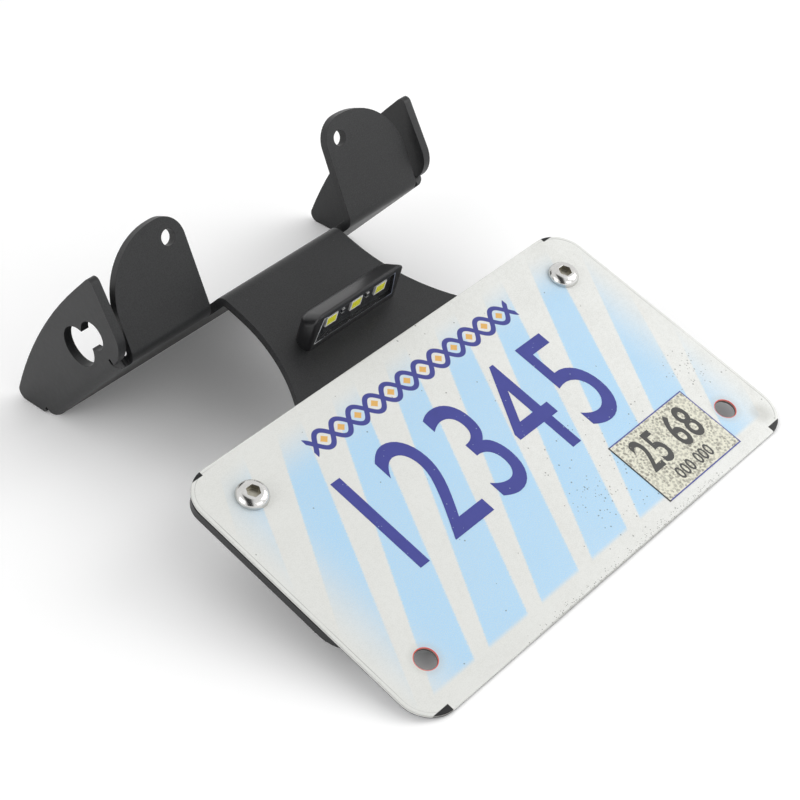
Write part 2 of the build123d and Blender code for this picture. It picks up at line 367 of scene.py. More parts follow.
class MaterialKit(NodeKit):
    """Nodes of a material in millimetres, along the piece's own axes or the plate's."""

    def __init__(self, name: str, axes: Optional[PlateAxes] = None) -> None:
        """Starts a material with one principled shader.

        Args:
            name: The material's name.
            axes: The plate's axes, where the material follows them.
        """
        super().__init__(bpy.data.materials.new(name), "Principled BSDF")
        node = self.new("Mapping")
        node.vector_type = "TEXTURE"
        self.put(node.inputs["Vector"], self.new("TexCoord").outputs["Object"])
        node.inputs["Scale"].default_value = (MM, MM, MM)
        if axes:
            node.inputs["Location"].default_value = axes.origin
            node.inputs["Rotation"].default_value = axes.turn.to_euler()
        self.at = node.outputs["Vector"]
        self.x, self.u, self.n = self.split(self.at)

    def noise(self, noise: Noise) -> Socket:
        """Noise with its edges and its cover."""
        node = self.new("TexNoise")
        self.put(node.inputs["Vector"], self.at)
        node.inputs["Scale"].default_value = 1.0 / noise.grain
        node.inputs["Detail"].default_value = noise.detail
        value = node.outputs["Fac"]
        if noise.limits:
            value = self.step(value, *noise.limits)
        return self.spread(value, *noise.cover) if noise.cover else value

    def specks(self, specks: Specks, share: Optional[Socket] = None) -> Socket:
        """How much specks cover.

        Args:
            specks: The specks.
            share: Part of the cells that have one, where that varies.

        Returns:
            Their cover inside a speck, 0 outside.
        """
        node = self.new("TexVoronoi")
        node.voronoi_dimensions = "2D" if specks.flat else "3D"
        self.put(node.inputs["Vector"], self.at)
        node.inputs["Scale"].default_value = 1.0 / specks.pitch
        chance, size, _ = self.split(node.outputs["Color"])
        reach = self.times(self.spread(size, *specks.sizes), specks.radius)
        inside = self.step(self.math("DIVIDE", node.outputs["Distance"], reach), *specks.edge)
        chosen = self.math("LESS_THAN", chance, share or specks.share)
        return self.times(inside, chosen, specks.cover)

    def near(self, patch: Patch) -> Socket:
        """1 round a patch's middle, 0 outside it."""
        away = self.length(self.minus(self.x, patch.x), self.minus(self.u, patch.u))
        return self.step(away, patch.reach, patch.reach * patch.core)

    def blend(self, share: Value, a: Union[Socket, Colour], b: Union[Socket, Colour]) -> Socket:
        """One colour over another.

        Args:
            share: How much of the second shows.
            a: Colour below.
            b: Colour above.

        Returns:
            The mixed colour.
        """
        node = self.new("Mix")
        node.data_type = "RGBA"
        self.put(node.inputs["Factor"], share)
        for socket, colour in zip((s for s in node.inputs if s.type == "RGBA"), (a, b)):
            self.put(socket, colour if isinstance(colour, Socket) else (*colour, 1.0))
        return next(s for s in node.outputs if s.type == "RGBA")

    def bump(self, height: Socket, depth: float) -> None:
        """Bumps the surface by a height from 0 to 1, where 1 stands for so many millimetres."""
        node = self.new("Bump")
        node.inputs["Strength"].default_value = 1.0
        node.inputs["Distance"].default_value = depth * MM
        self.put(node.inputs["Height"], height)
        self.set(Normal=node.outputs["Normal"])


def toned(colour: Colour, factor: float) -> Colour:
    """A colour made lighter or darker by a factor."""
    return tuple(min(1.0, part * factor) for part in colour)


@dataclass(frozen=True)
class PowderCoat:
    """Satin black powder coat with a fine grain and a little dust."""

    colour: Colour = (0.0075, 0.0078, 0.0085)
    pale: Colour = (0.0175, 0.018, 0.019)
    grain: Noise = Noise(0.32, 1.0)
    peel: Noise = Noise(1.9)
    blotch: Noise = Noise(26.0, 3.0)
    blotch_share: float = 0.3
    contrast: Range = (0.35, 0.65)
    dust: Specks = Specks(2.6, 0.06, 0.12, 0.5)
    dust_tone: Colour = (0.16, 0.16, 0.155)
    rough: Range = (0.36, 0.5)
    depth: float = 0.03
    gloss: float = 0.4

    def material(self) -> Material:
        """Builds the coat's nodes."""
        kit = MaterialKit("powder_coat")
        grain = kit.noise(self.grain)
        peel = kit.noise(self.peel)
        mixed = kit.mix(grain, kit.noise(self.blotch), self.blotch_share)
        coat = kit.blend(kit.step(mixed, *self.contrast), self.colour, self.pale)
        kit.bump(kit.plus(grain, peel), self.depth)
        kit.set(
            Base_Color=kit.blend(kit.specks(self.dust), coat, self.dust_tone),
            Roughness=kit.spread(kit.mix(grain, peel), *self.rough),
            Specular_IOR_Level=self.gloss,
        )
        return kit.owner


class PrintLayer(Protocol):
    """Something printed on the plate's face or worn into it."""

    def over(self, kit: MaterialKit, under: Socket) -> Socket:
        """Lays it over a colour.

        Args:
            kit: The material's nodes.
            under: The colour below.

        Returns:
            The new colour.
        """


@dataclass(frozen=True)
class WhiteGround:
    """Uneven white of the sheeting, with painted shade that greys it towards the left."""

    white: Colour = (0.77, 0.777, 0.752)
    # Grey of the mottle, and of the painted shade to the left.
    shade: Colour = (0.655, 0.66, 0.63)
    grain: Noise = Noise(0.4)
    cloud: Noise = Noise(1.6)
    wide_cloud: Noise = Noise(14.0, 3.0)
    contrast: Range = (0.3, 0.62)
    # Painted shade: where the white starts and stops greying towards the left.
    painted_left_shade: Range = (75.0, -60.0)
    painted_left_shade_share: float = 0.45

    def colour(self, kit: MaterialKit) -> Socket:
        """Builds the ground's colour."""
        clouds = kit.mix(kit.noise(self.cloud), kit.noise(self.wide_cloud))
        grain = kit.mix(kit.noise(self.grain), clouds)
        white = kit.blend(kit.step(grain, *self.contrast), self.shade, self.white)
        # Painted shade: the white greys towards the left, where less light falls on the plate.
        painted_left_shade = kit.times(kit.step(kit.x, *self.painted_left_shade), self.painted_left_shade_share)
        return kit.blend(painted_left_shade, white, self.shade)


@dataclass(frozen=True)
class SlantedBars:
    """Slanted pale blue bars, narrower to the top, with pale beads in them."""

    sky: Colour = (0.33, 0.615, 0.87)
    pitch: float = 21.0
    half_share: float = 0.29
    taper: float = 0.035
    slant: float = radians(28)
    ragged: Noise = Noise(0.35, 1.0, cover=(-0.7, 0.7))
    soft: float = 0.3
    fade_end: Range = (0.0, 26.0)
    fade_low: Range = (6.0, 8.0)
    fade_high: Range = (3.0, 22.0)
    beads: Noise = Noise(0.3, 1.0, (0.35, 0.65), (1.0, 0.62))
    wash: Noise = Noise(30.0, 1.0, cover=(0.78, 1.0))

    def over(self, kit: MaterialKit, under: Socket) -> Socket:
        """Lays the bars over the ground."""
        along = kit.plus(kit.times(kit.x, cos(self.slant)), kit.times(kit.u, -sin(self.slant)))
        wave = kit.math("PINGPONG", along, self.pitch / 2)
        half = kit.plus(kit.times(kit.u, -self.taper), self.pitch * self.half_share)
        bar = kit.past(kit.plus(kit.minus(half, wave), kit.noise(self.ragged)), 0.0, self.soft)
        end = kit.step(kit.minus(PLATE.half_w, kit.size(kit.x)), *self.fade_end)
        low = kit.step(kit.plus(kit.u, PLATE.half_h), *self.fade_low)
        high = kit.step(kit.minus(PLATE.half_h, kit.u), *self.fade_high)
        cover = kit.times(bar, end, low, high, kit.noise(self.beads), kit.noise(self.wash))
        return kit.blend(cover, under, self.sky)


@dataclass(frozen=True)
class Braid:
    """Two crossing dark blue waves along the plate's top, with gold lozenges between them."""

    navy: Colour = (0.047, 0.054, 0.262)
    gold: Colour = (0.72, 0.42, 0.12)
    middle_u: float = 36.5
    half: float = 47.2
    turn: float = 0.42
    swing: float = 3.4
    line: float = 0.85
    lozenge: float = 1.5
    soft: float = 0.1

    def over(self, kit: MaterialKit, under: Socket) -> Socket:
        """Lays the lozenges over a colour, and the waves over them."""
        ends = kit.within(kit.size(kit.x), self.half, self.soft)
        rise = kit.minus(kit.u, self.middle_u)
        turn = kit.times(kit.x, self.turn)
        swing = kit.times(kit.math("SINE", turn), self.swing)
        cosine = kit.math("COSINE", turn)
        lean = kit.length(kit.times(cosine, self.swing * self.turn), 1.0)
        from_eye = kit.times(kit.size(cosine), 1.0 / self.turn)
        eye = kit.within(kit.plus(from_eye, kit.size(rise)), self.lozenge, self.soft)
        under = kit.blend(kit.times(eye, ends), under, self.gold)
        for operation in ("ADD", "SUBTRACT"):
            off = kit.math("DIVIDE", kit.size(kit.math(operation, rise, swing)), lean)
            line = kit.within(off, self.line, self.soft)
            under = kit.blend(kit.times(line, ends), under, self.navy)
        return under


@dataclass(frozen=True)
class PaintedRimShade:
    """A thin dark line of painted shade along the outline at the plate's ends, standing in for the
    step of a pressed rim.
    """

    tone: Colour = (0.2, 0.2, 0.19)
    inset: float = 1.15
    line: float = 0.11
    wear: Noise = Noise(18.0, 2.0, (0.35, 0.65), (0.2, 0.6))
    ends: Range = (70.0, 84.0)
    above: Range = (-49.0, -48.0)

    def over(self, kit: MaterialKit, under: Socket) -> Socket:
        """Lays the line over a colour, at one distance inside the rounded outline."""
        over_x = kit.minus(kit.size(kit.x), PLATE.half_w - PLATE.corner_r)
        over_u = kit.minus(kit.size(kit.u), PLATE.half_h - PLATE.corner_r)
        round_off = kit.length(kit.most(over_x, 0.0), kit.most(over_u, 0.0))
        flat_off = kit.math("MINIMUM", kit.most(over_x, over_u), 0.0)
        inward = kit.minus(PLATE.corner_r, kit.plus(round_off, flat_off))
        # Painted shade: a dark line one distance inside the outline, where a pressed rim would
        # step.
        line = kit.within(kit.size(kit.minus(inward, self.inset)), self.line, self.line / 2)
        ends = kit.times(kit.step(kit.size(kit.x), *self.ends), kit.step(kit.u, *self.above))
        return kit.blend(kit.times(line, kit.noise(self.wear), ends), under, self.tone)


@dataclass(frozen=True)
class CornerMarks:
    """Black marks across the plate's corners."""

    top: Range = (79.5, 49.0)
    low: Range = (78.7, 48.4)
    half_way: float = 1.0
    soft: float = 0.1

    def over(self, kit: MaterialKit, under: Socket) -> Socket:
        """Lays the marks over a colour."""
        low = kit.within(kit.u, 0.0, self.half_way)
        past_x = kit.minus(kit.size(kit.x), kit.spread(low, self.top[0], self.low[0]))
        past_u = kit.minus(kit.size(kit.u), kit.spread(low, self.top[1], self.low[1]))
        corner = kit.times(kit.past(past_x, 0.0, self.soft), kit.past(past_u, 0.0, self.soft))
        return kit.blend(corner, under, INK_AND_SHADOW_BLACK)


@dataclass(frozen=True)
class HoleRims:
    """Red rims of the open lower holes, with a grey halo outside and painted shade on the lower
    wall inside.
    """

    red: Colour = (0.72, 0.055, 0.025)
    halo: Range = (3.0, 0.0)
    halo_cover: float = 0.35
    rim: Range = (0.33, 0.2)
    rim_cover: float = 0.92
    # Painted shade on the hole's wall: its reach from the edge and the depth where it darkens.
    wall: Range = (0.1, 0.0)
    wall_depth: Range = (-0.4, -0.55)

    def over(self, kit: MaterialKit, under: Socket) -> Socket:
        """Lays halo, rim and the wall's painted shade over a colour."""
        side = kit.minus(kit.size(kit.x), PLATE.hole_x)
        away = kit.minus(kit.length(side, kit.plus(kit.u, PLATE.hole_u)), PLATE.hole_d / 2)
        halo = kit.times(kit.step(away, *self.halo), self.halo_cover)
        rim = kit.times(kit.step(away, *self.rim), self.rim_cover)
        # Painted shade: the hole's wall darkens below the red rim, deeper in the hole.
        wall = kit.times(kit.step(away, *self.wall), kit.step(kit.n, *self.wall_depth))
        under = kit.blend(rim, kit.blend(halo, under, SMUDGE), self.red)
        return kit.blend(wall, under, GRIME_AND_SHADE)


@dataclass(frozen=True)
class Dirt:
    """Clusters of fine specks, a smudge and scuffs along the lower edge."""

    specks: Specks = Specks(0.95, 0.36, cover=0.6, flat=True)
    field_x: Band = ((-12.0, 12.0), (70.0, 40.0))
    field_u: Range = (2.0, -25.0)
    field_share: float = 0.1
    clusters: tuple[Patch, ...] = (Patch(76.0, -17.0, 12.0), Patch(12.0, -32.0, 15.0))
    cluster_share: float = 0.34
    least_share: float = 0.004
    patchy: Noise = Noise(5.0, 2.0, (0.35, 0.62), (0.2, 1.0))
    scuffs: Specks = Specks(0.7, 0.36, cover=0.62, flat=True)
    scuff_x: Band = ((-52.0, -26.0), (66.0, 34.0))
    scuff_u: Range = (-47.6, -50.6)
    scuff_share: float = 0.6
    edge_u: Range = (-50.3, -50.7)
    edge_cover: float = 0.4
    smudge: Patch = Patch(81.6, -43.6, 5.4)
    smudge_cover: Noise = Noise(1.2, cover=(0.35, 0.7))

    def over(self, kit: MaterialKit, under: Socket) -> Socket:
        """Lays the smudge over a colour, and specks and scuffs over it."""
        smudge = kit.times(kit.near(self.smudge), kit.noise(self.smudge_cover))
        in_field = kit.times(kit.band(kit.x, *self.field_x), kit.step(kit.u, *self.field_u))
        clusters = (kit.times(kit.near(patch), self.cluster_share) for patch in self.clusters)
        share = kit.most(kit.times(in_field, self.field_share), *clusters, self.least_share)
        specks = kit.specks(self.specks, kit.times(share, kit.noise(self.patchy)))
        along = kit.band(kit.x, *self.scuff_x)
        scuffed = kit.times(along, kit.step(kit.u, *self.scuff_u), self.scuff_share)
        edge = kit.times(along, kit.step(kit.u, *self.edge_u), self.edge_cover)
        grime = kit.most(specks, kit.specks(self.scuffs, scuffed), edge)
        return kit.blend(grime, kit.blend(smudge, under, SMUDGE), GRIME_AND_SHADE)


@dataclass(frozen=True)
class PlateSheeting:
    """Reflective sheeting with its print, wear and painted shade, the bare metal below it, and a
    painted black shadow on its side where it meets the backing.
    """

    axes: PlateAxes
    ground: WhiteGround = WhiteGround()
    layers: tuple[PrintLayer, ...] = (
        SlantedBars(), Braid(), PaintedRimShade(), CornerMarks(), HoleRims(), Dirt(),
    )
    metal: Colour = (0.45, 0.455, 0.46)
    print_depth: float = -0.75
    print_soft: float = 0.05
    crease: Band = ((-0.5, -0.42), (-0.12, -0.2))
    crease_cover: float = 0.6
    # Depth of the painted black shadow on the side, where the plate meets the backing.
    gap: Band = ((-1.19, -1.16), (-0.82, -0.92))
    beads: Noise = Noise(0.22, 1.0)
    ripple: Noise = Noise(3.0)
    rough: Range = (0.32, 0.48)
    depth: float = 0.012
    gloss: float = 0.35

    def material(self) -> Material:
        """Builds the sheeting's nodes."""
        kit = MaterialKit("plate_sheeting", self.axes)
        face = self.ground.colour(kit)
        for layer in self.layers:
            face = layer.over(kit, face)
        crease = kit.times(kit.band(kit.n, *self.crease), self.crease_cover)
        printed = kit.past(kit.n, self.print_depth, self.print_soft)
        sheet = kit.blend(printed, self.metal, kit.blend(crease, face, SMUDGE))
        # Painted shadow: a black band on the plate's side next to the backing.
        gap = kit.band(kit.n, *self.gap)
        beads = kit.noise(self.beads)
        kit.bump(kit.plus(beads, kit.noise(self.ripple)), self.depth)
        kit.set(
            Base_Color=kit.blend(gap, sheet, INK_AND_SHADOW_BLACK),
            Metallic=kit.minus(1.0, kit.most(printed, gap)),
            Roughness=kit.spread(beads, *self.rough),
            Specular_IOR_Level=self.gloss,
        )
        return kit.owner


@dataclass(frozen=True)
class PrintInk:
    """Flat printing ink with small worn specks."""

    name: str
    colour: Colour
    worn: Colour
    wear: Specks = Specks(0.8, 0.3, 0.05)
    fade: float = 1.25
    faded: Noise = Noise(5.0)
    rough: Noise = Noise(0.3, 1.0, cover=(0.42, 0.56))
    tooth: Noise = Noise(0.25, 1.0)
    depth: float = 0.008
    gloss: float = 0.3

    def material(self) -> Material:
        """Builds the ink's nodes."""
        kit = MaterialKit(self.name)
        ink = kit.blend(kit.noise(self.faded), self.colour, toned(self.colour, self.fade))
        kit.bump(kit.noise(self.tooth), self.depth)
        kit.set(
            Base_Color=kit.blend(kit.specks(self.wear), ink, self.worn),
            Roughness=kit.noise(self.rough),
            Specular_IOR_Level=self.gloss,
        )
        return kit.owner


@dataclass(frozen=True)
class StickerVinyl:
    """Cream vinyl with a mottled print and a thin outline, with painted shade darkening the
    outline at its left end.
    """

    axes: PlateAxes
    centre_x: float
    centre_u: float
    half_w: float
    half_h: float
    cream: Colour = (0.72, 0.705, 0.585)
    mottle: Colour = (0.19, 0.182, 0.145)
    outline: Colour = (0.05, 0.06, 0.28)
    shaded: Colour = (0.015, 0.015, 0.02)
    blots: Specks = Specks(1.35, 0.5, 0.9, flat=True)
    patchy: Noise = Noise(6.0, 2.0, (0.3, 0.6), (0.34, 0.72))
    blur: Noise = Noise(0.9, 2.0, (0.42, 0.72), (0.0, 1.1))
    line: float = 0.42
    line_soft: float = 0.05
    left_end: Range = (1.0, 0.6)
    rough: Noise = Noise(0.4, 1.0, cover=(0.34, 0.5))
    skin: Noise = Noise(0.6)
    depth: float = 0.01

    def material(self) -> Material:
        """Builds the vinyl's nodes."""
        kit = MaterialKit("sticker_vinyl", self.axes)
        patchy = kit.noise(self.patchy)
        mottled = self.cream
        for print_mark in (kit.specks(self.blots), kit.noise(self.blur)):
            mottled = kit.blend(kit.times(print_mark, patchy), mottled, self.mottle)
        off_x = kit.minus(kit.x, self.centre_x)
        off_u = kit.minus(kit.u, self.centre_u)
        end = kit.minus(self.half_w, kit.size(off_x))
        side = kit.minus(self.half_h, kit.size(off_u))
        rim = kit.within(kit.math("MINIMUM", end, side), self.line, self.line_soft)
        # Painted shade: the outline turns near black at the sticker's left end.
        left = kit.step(kit.plus(off_x, self.half_w), *self.left_end)
        edge = kit.blend(left, self.outline, self.shaded)
        kit.bump(kit.noise(self.skin), self.depth)
        kit.set(Base_Color=kit.blend(rim, mottled, edge), Roughness=kit.noise(self.rough))
        return kit.owner


@dataclass(frozen=True)
class Steel:
    """Turned steel with fine marks."""

    name: str
    colour: Colour
    rough: Range
    dull: float = 0.8
    marks: Noise = Noise(0.18)
    stain: Noise = Noise(2.2, 3.0)
    depth: float = 0.004

    def material(self) -> Material:
        """Builds the steel's nodes."""
        kit = MaterialKit(self.name)
        marks = kit.noise(self.marks)
        stain = kit.noise(self.stain)
        kit.bump(marks, self.depth)
        kit.set(
            Base_Color=kit.blend(stain, self.colour, toned(self.colour, self.dull)),
            Roughness=kit.spread(kit.times(marks, stain), *self.rough),
            Metallic=1.0,
        )
        return kit.owner


@dataclass(frozen=True)
class ScrewSteel:
    """Bright screw steel with painted shade in the socket of its head."""

    axes: PlateAxes
    socket_r: float = 2.33
    socket_soft: float = 0.03
    socket_foot: float = 0.35
    socket_top: float = 2.52
    level_soft: float = 0.05
    colour: Colour = (0.7, 0.695, 0.68)
    worn: Colour = (0.55, 0.545, 0.53)
    painted_socket_shade: Colour = (0.42, 0.4, 0.34)
    marks: Noise = Noise(0.18)
    stain: Noise = Noise(1.6, 3.0)
    rough: Range = (0.14, 0.3)
    socket_rough: float = 0.2
    depth: float = 0.0035

    def material(self) -> Material:
        """Builds the steel's nodes."""
        kit = MaterialKit("screw_steel_bright", self.axes)
        side = kit.minus(kit.size(kit.x), PLATE.hole_x)
        reach = kit.length(side, kit.minus(kit.u, PLATE.hole_u))
        # Painted shade: the hex socket is coloured darker, for the shade inside it.
        socket = kit.times(
            kit.within(reach, self.socket_r, self.socket_soft),
            kit.past(kit.n, self.socket_foot, self.level_soft),
            kit.within(kit.n, self.socket_top, self.level_soft),
        )
        marks = kit.noise(self.marks)
        stain = kit.noise(self.stain)
        rough = kit.spread(kit.times(marks, stain), *self.rough)
        kit.bump(marks, self.depth)
        kit.set(
            Base_Color=kit.blend(socket, kit.blend(stain, self.colour, self.worn), self.painted_socket_shade),
            Roughness=kit.plus(rough, kit.times(socket, self.socket_rough)),
            Metallic=1.0,
        )
        return kit.owner


@dataclass(frozen=True)
class Moulded:
    """Moulded plastic or rubber with a fine skin."""

    name: str
    colour: Colour
    rough: Range
    grain: Noise = Noise(0.25)
    stain: Noise = Noise(6.0)
    dull: float = 0.82
    depth: float = 0.01

    def material(self) -> Material:
        """Builds the moulding's nodes."""
        kit = MaterialKit(self.name)
        grain = kit.noise(self.grain)
        dull = toned(self.colour, self.dull)
        kit.bump(grain, self.depth)
        kit.set(
            Base_Color=kit.blend(kit.noise(self.stain), self.colour, dull),
            Roughness=kit.spread(grain, *self.rough),
        )
        return kit.owner


@dataclass(frozen=True)
class ClearPlastic:
    """Clear lens plastic with a faint haze."""

    tint: Colour = (0.08, 0.085, 0.09)
    cover: float = 0.06
    gloss: float = 1.7
    haze: Noise = Noise(1.5, 3.0, cover=(0.03, 0.1))

    def material(self) -> Material:
        """Builds the lens's nodes."""
        kit = MaterialKit("clear_plastic")
        kit.set(Base_Color=(*self.tint, 1.0), Alpha=self.cover, IOR=self.gloss)
        kit.set(Roughness=kit.noise(self.haze))
        return kit.owner


@dataclass(frozen=True)
class FrostedRim:
    """Frosted edge of the lens, with a painted highlight at its left end and a painted bluish
    reflection at its right.
    """

    axes: PlateAxes
    half: float
    dark: Colour = (0.06, 0.062, 0.068)
    # Colours of the painted highlight at the left end and the painted bluish reflection at the
    # right end.
    bright: Colour = (0.62, 0.63, 0.64)
    bluish: Colour = (0.2, 0.22, 0.28)
    highlight_reach: float = 2.5
    reflection_reach: float = 2.0
    stain: Noise = Noise(0.4, cover=(0.0, 0.3))
    frost: Noise = Noise(0.3)
    rough: Range = (0.3, 0.5)
    depth: float = 0.01

    def material(self) -> Material:
        """Builds the rim's nodes."""
        kit = MaterialKit("frosted_rim", self.axes)
        # Painted highlight towards the left end and painted bluish reflection towards the right
        # end.
        left = kit.step(kit.x, self.highlight_reach - self.half, -self.half)
        right = kit.step(kit.x, self.half - self.reflection_reach, self.half)
        colour = kit.blend(right, kit.blend(left, self.dark, self.bright), self.bluish)
        frost = kit.noise(self.frost)
        kit.bump(frost, self.depth)
        kit.set(
            Base_Color=kit.blend(kit.noise(self.stain), colour, self.dark),
            Roughness=kit.spread(frost, *self.rough),
        )
        return kit.owner


@dataclass(frozen=True)
class ChipBody:
    """Black chip with tinned ends."""

    axes: PlateAxes
    middle_n: float
    half: float
    soft: float = 0.04
    body: Colour = (0.035, 0.035, 0.036)
    tin: Colour = (0.66, 0.66, 0.64)
    tin_metal: float = 0.35
    rough: Noise = Noise(0.2, cover=(0.28, 0.44))
    skin: Noise = Noise(0.3)
    depth: float = 0.02

    def material(self) -> Material:
        """Builds the chip's nodes."""
        kit = MaterialKit("chip_body", self.axes)
        tinned = kit.past(kit.size(kit.minus(kit.n, self.middle_n)), self.half, self.soft)
        kit.bump(kit.noise(self.skin), self.depth)
        kit.set(
            Base_Color=kit.blend(tinned, self.body, self.tin),
            Metallic=kit.times(tinned, self.tin_metal),
            Roughness=kit.noise(self.rough),
        )
        return kit.owner


@dataclass(frozen=True)
class SolderMask:
    """Dark circuit board with paler traces."""

    axes: PlateAxes
    mask: Colour = (0.008, 0.009, 0.011)
    trace: Colour = (0.026, 0.028, 0.03)
    row_pitch: float = 0.9
    row: Range = (0.14, 0.1)
    column_pitch: float = 2.7
    column: Range = (0.2, 0.15)
    whole: Noise = Noise(2.4, 1.0, (0.42, 0.5))
    rough: Noise = Noise(0.3, 1.0, cover=(0.25, 0.4))
    depth: float = 0.008

    def material(self) -> Material:
        """Builds the board's nodes."""
        kit = MaterialKit("solder_mask", self.axes)
        rows = kit.step(kit.math("PINGPONG", kit.n, self.row_pitch), *self.row)
        columns = kit.step(kit.math("PINGPONG", kit.x, self.column_pitch), *self.column)
        traces = kit.times(kit.most(rows, columns), kit.noise(self.whole))
        kit.bump(traces, self.depth)
        kit.set(
            Base_Color=kit.blend(traces, self.mask, self.trace),
            Roughness=kit.noise(self.rough),
        )
        return kit.owner


def added(operator: Callable, name: str, **settings: Union[float, str, Spot]) -> Piece:
    """Adds one object.

    Args:
        operator: The operator that adds it.
        name: Its name.
        settings: The operator's settings.

    Returns:
        The object, which is selected and active.
    """
    bpy.ops.object.select_all(action="DESELECT")
    operator(**settings)
    bpy.context.active_object.name = name
    return bpy.context.active_object


def select_only(piece: Piece) -> None:
    """Selects one object and makes it active."""
    bpy.ops.object.select_all(action="DESELECT")
    piece.select_set(True)
    bpy.context.view_layer.objects.active = piece


def in_edit_mode(piece: Piece, work: Callable[[], None]) -> None:
    """Runs mesh operators on all of one object's mesh.

    Args:
        piece: The object.
        work: Calls the operators.
    """
    select_only(piece)
    bpy.ops.object.mode_set(mode="EDIT")
    bpy.ops.mesh.select_all(action="SELECT")
    work()
    bpy.ops.object.mode_set(mode="OBJECT")


def round_edges(piece: Piece, width: float, segments: int, sharp: Optional[float] = None) -> None:
    """Rounds a piece's edges.

    Args:
        piece: The piece.
        width: Width of the rounding, in millimetres.
        segments: Facets across it.
        sharp: Angle from which an edge is rounded, in radians. Without it, each edge's weight
            says how much of the width it gets.
    """
    select_only(piece)
    rounding = piece.modifiers.new("rounding", "BEVEL")
    rounding.width = width * MM
    rounding.segments = segments
    rounding.limit_method = "ANGLE" if sharp else "WEIGHT"
    if sharp:
        rounding.angle_limit = sharp
        rounding.harden_normals = True
    bpy.ops.object.modifier_apply(modifier=rounding.name)


def dress(piece: Piece, material: Material) -> None:
    """Gives a piece one material."""
    piece.data.materials.clear()
    piece.data.materials.append(material)


def keep(piece: Piece, material: Material, slot: Slot, *nodes: str) -> None:
    """Dresses a finished piece and fixes it to the frame.

    Args:
        piece: The piece.
        material: Its material.
        slot: Not used.
        nodes: The CAD nodes it stands for.
    """
    dress(piece, material)
    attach(piece, BODY)
    if nodes:
        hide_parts(*nodes)
    log.info("piece %s: %d faces", piece.name, len(piece.data.polygons))


@dataclass(frozen=True)
class EdgedCopy:
    """A copy of a node's mesh with its sharp edges rounded, lengths in millimetres."""

    node: str
    name: str
    edge: float
    segments: int = 3
    sharp: float = radians(40)
    merge: float = 0.0005
    flat: float = radians(0.6)

    def make(self, material: Material, slot: Slot, shape: Optional[Shaper] = None) -> None:
        """Makes and keeps the copy.

        Args:
            material: Its material.
            slot: Its slot in the record.
            shape: Works on the mesh before the rounding.
        """
        piece = bpy.data.objects.new(self.name, frame["nodes"][self.node].data.copy())
        bpy.context.scene.collection.objects.link(piece)
        in_edit_mode(piece, self._clean)
        if shape:
            shape(piece)
        bpy.ops.object.shade_smooth_by_angle(angle=SMOOTH_BELOW)
        round_edges(piece, self.edge, self.segments, self.sharp)
        keep(piece, material, slot, self.node)

    def _clean(self) -> None:
        """Joins the loose triangles and the flat faces they make up."""
        bpy.ops.mesh.customdata_custom_splitnormals_clear()
        bpy.ops.mesh.remove_doubles(threshold=self.merge * MM)
        bpy.ops.mesh.dissolve_limited(angle_limit=self.flat)


@dataclass
class FoldedBracket:
    """The folded sheet that carries everything else."""

    edge: float = 0.4
    coat: PowderCoat = PowderCoat()

    def build(self) -> None:
        """Makes and dresses the bracket."""
        EdgedCopy("bracket", "bracket_coated", self.edge).make(self.coat.material(), Slot.COAT)


@dataclass(frozen=True)
class Lettering:
    """A row of raised figures, lengths in millimetres."""

    name: str
    words: str
    height: float
    squeeze: float
    gap: float
    rise: float
    weight: float = 0.0
    facets: int = 8
    merge: float = 0.001
    smooth_below: float = radians(30)

    def make(self, axes: PlateAxes, x: float, u: float, n: float) -> Piece:
        """Makes the figures as a mesh on the plate.

        Args:
            axes: The plate's axes.
            x: Their middle along the plate.
            u: Their middle up the plate.
            n: What they stand on, over the plate's face.

        Returns:
            The piece.
        """
        piece = added(bpy.ops.object.text_add, self.name)
        shape = piece.data
        shape.body = self.words
        shape.align_x = "CENTER"
        shape.align_y = "CENTER"
        shape.space_character = self.gap
        shape.resolution_u = self.facets
        shape.offset = self.weight
        bpy.context.view_layer.update()
        scale = self.height * MM / piece.dimensions.y
        shape.extrude = self.rise / 2 * MM / scale
        bpy.ops.object.convert(target="MESH")
        piece = bpy.context.active_object
        stretch = Matrix.Diagonal((scale * self.squeeze, scale, scale, 1.0))
        piece.matrix_world = axes.place(x, u, n + self.rise / 2) @ stretch
        bpy.ops.object.transform_apply(location=True, rotation=True, scale=True)
        corners = [Vector(corner) for corner in piece.bound_box]
        off = axes.place(x, u, n).translation - sum(corners, Vector()) / len(corners)
        slide = ALONG * off.x + axes.up * off.dot(axes.up)
        piece.data.transform(Matrix.Translation(slide))
        in_edit_mode(piece, lambda: bpy.ops.mesh.remove_doubles(threshold=self.merge * MM))
        bpy.ops.object.shade_smooth_by_angle(angle=self.smooth_below)
        return piece


@dataclass(frozen=True)
class ScrewThread:
    """Ring grooves on the plate screws' ends, in millimetres."""

    axes: PlateAxes
    screw_d: float = 6.0
    root_d: float = 5.0
    end: float = -12.3
    lead: float = 0.4
    pitch: float = 1.0
    rings: int = 5
    merge: float = 0.01
    slack: float = 0.025

    def cut(self, piece: Piece) -> None:
        """Cuts the grooves.

        Args:
            piece: The screws.
        """
        levels = [self.end + self.lead + ring * self.pitch / 2 for ring in range(self.rings)]

        def rings() -> None:
            """Cuts rings where the thread's crests and roots lie."""
            for level in levels:
                spot = self.axes.place(0.0, 0.0, level).translation
                bpy.ops.mesh.select_all(action="SELECT")
                bpy.ops.mesh.bisect(
                    plane_co=spot, plane_no=self.axes.normal, threshold=self.merge * MM
                )

        in_edit_mode(piece, rings)
        roots = [self.end, *levels[1::2]]
        for corner in piece.data.vertices:
            n = (corner.co - self.axes.origin).dot(self.axes.normal) / MM
            if min(abs(n - root) for root in roots) < self.slack:
                screw_x = copysign(PLATE.hole_x, corner.co.x)
                middle = self.axes.place(screw_x, PLATE.hole_u, n).translation
                corner.co = middle + (corner.co - middle) * (self.root_d / self.screw_d)


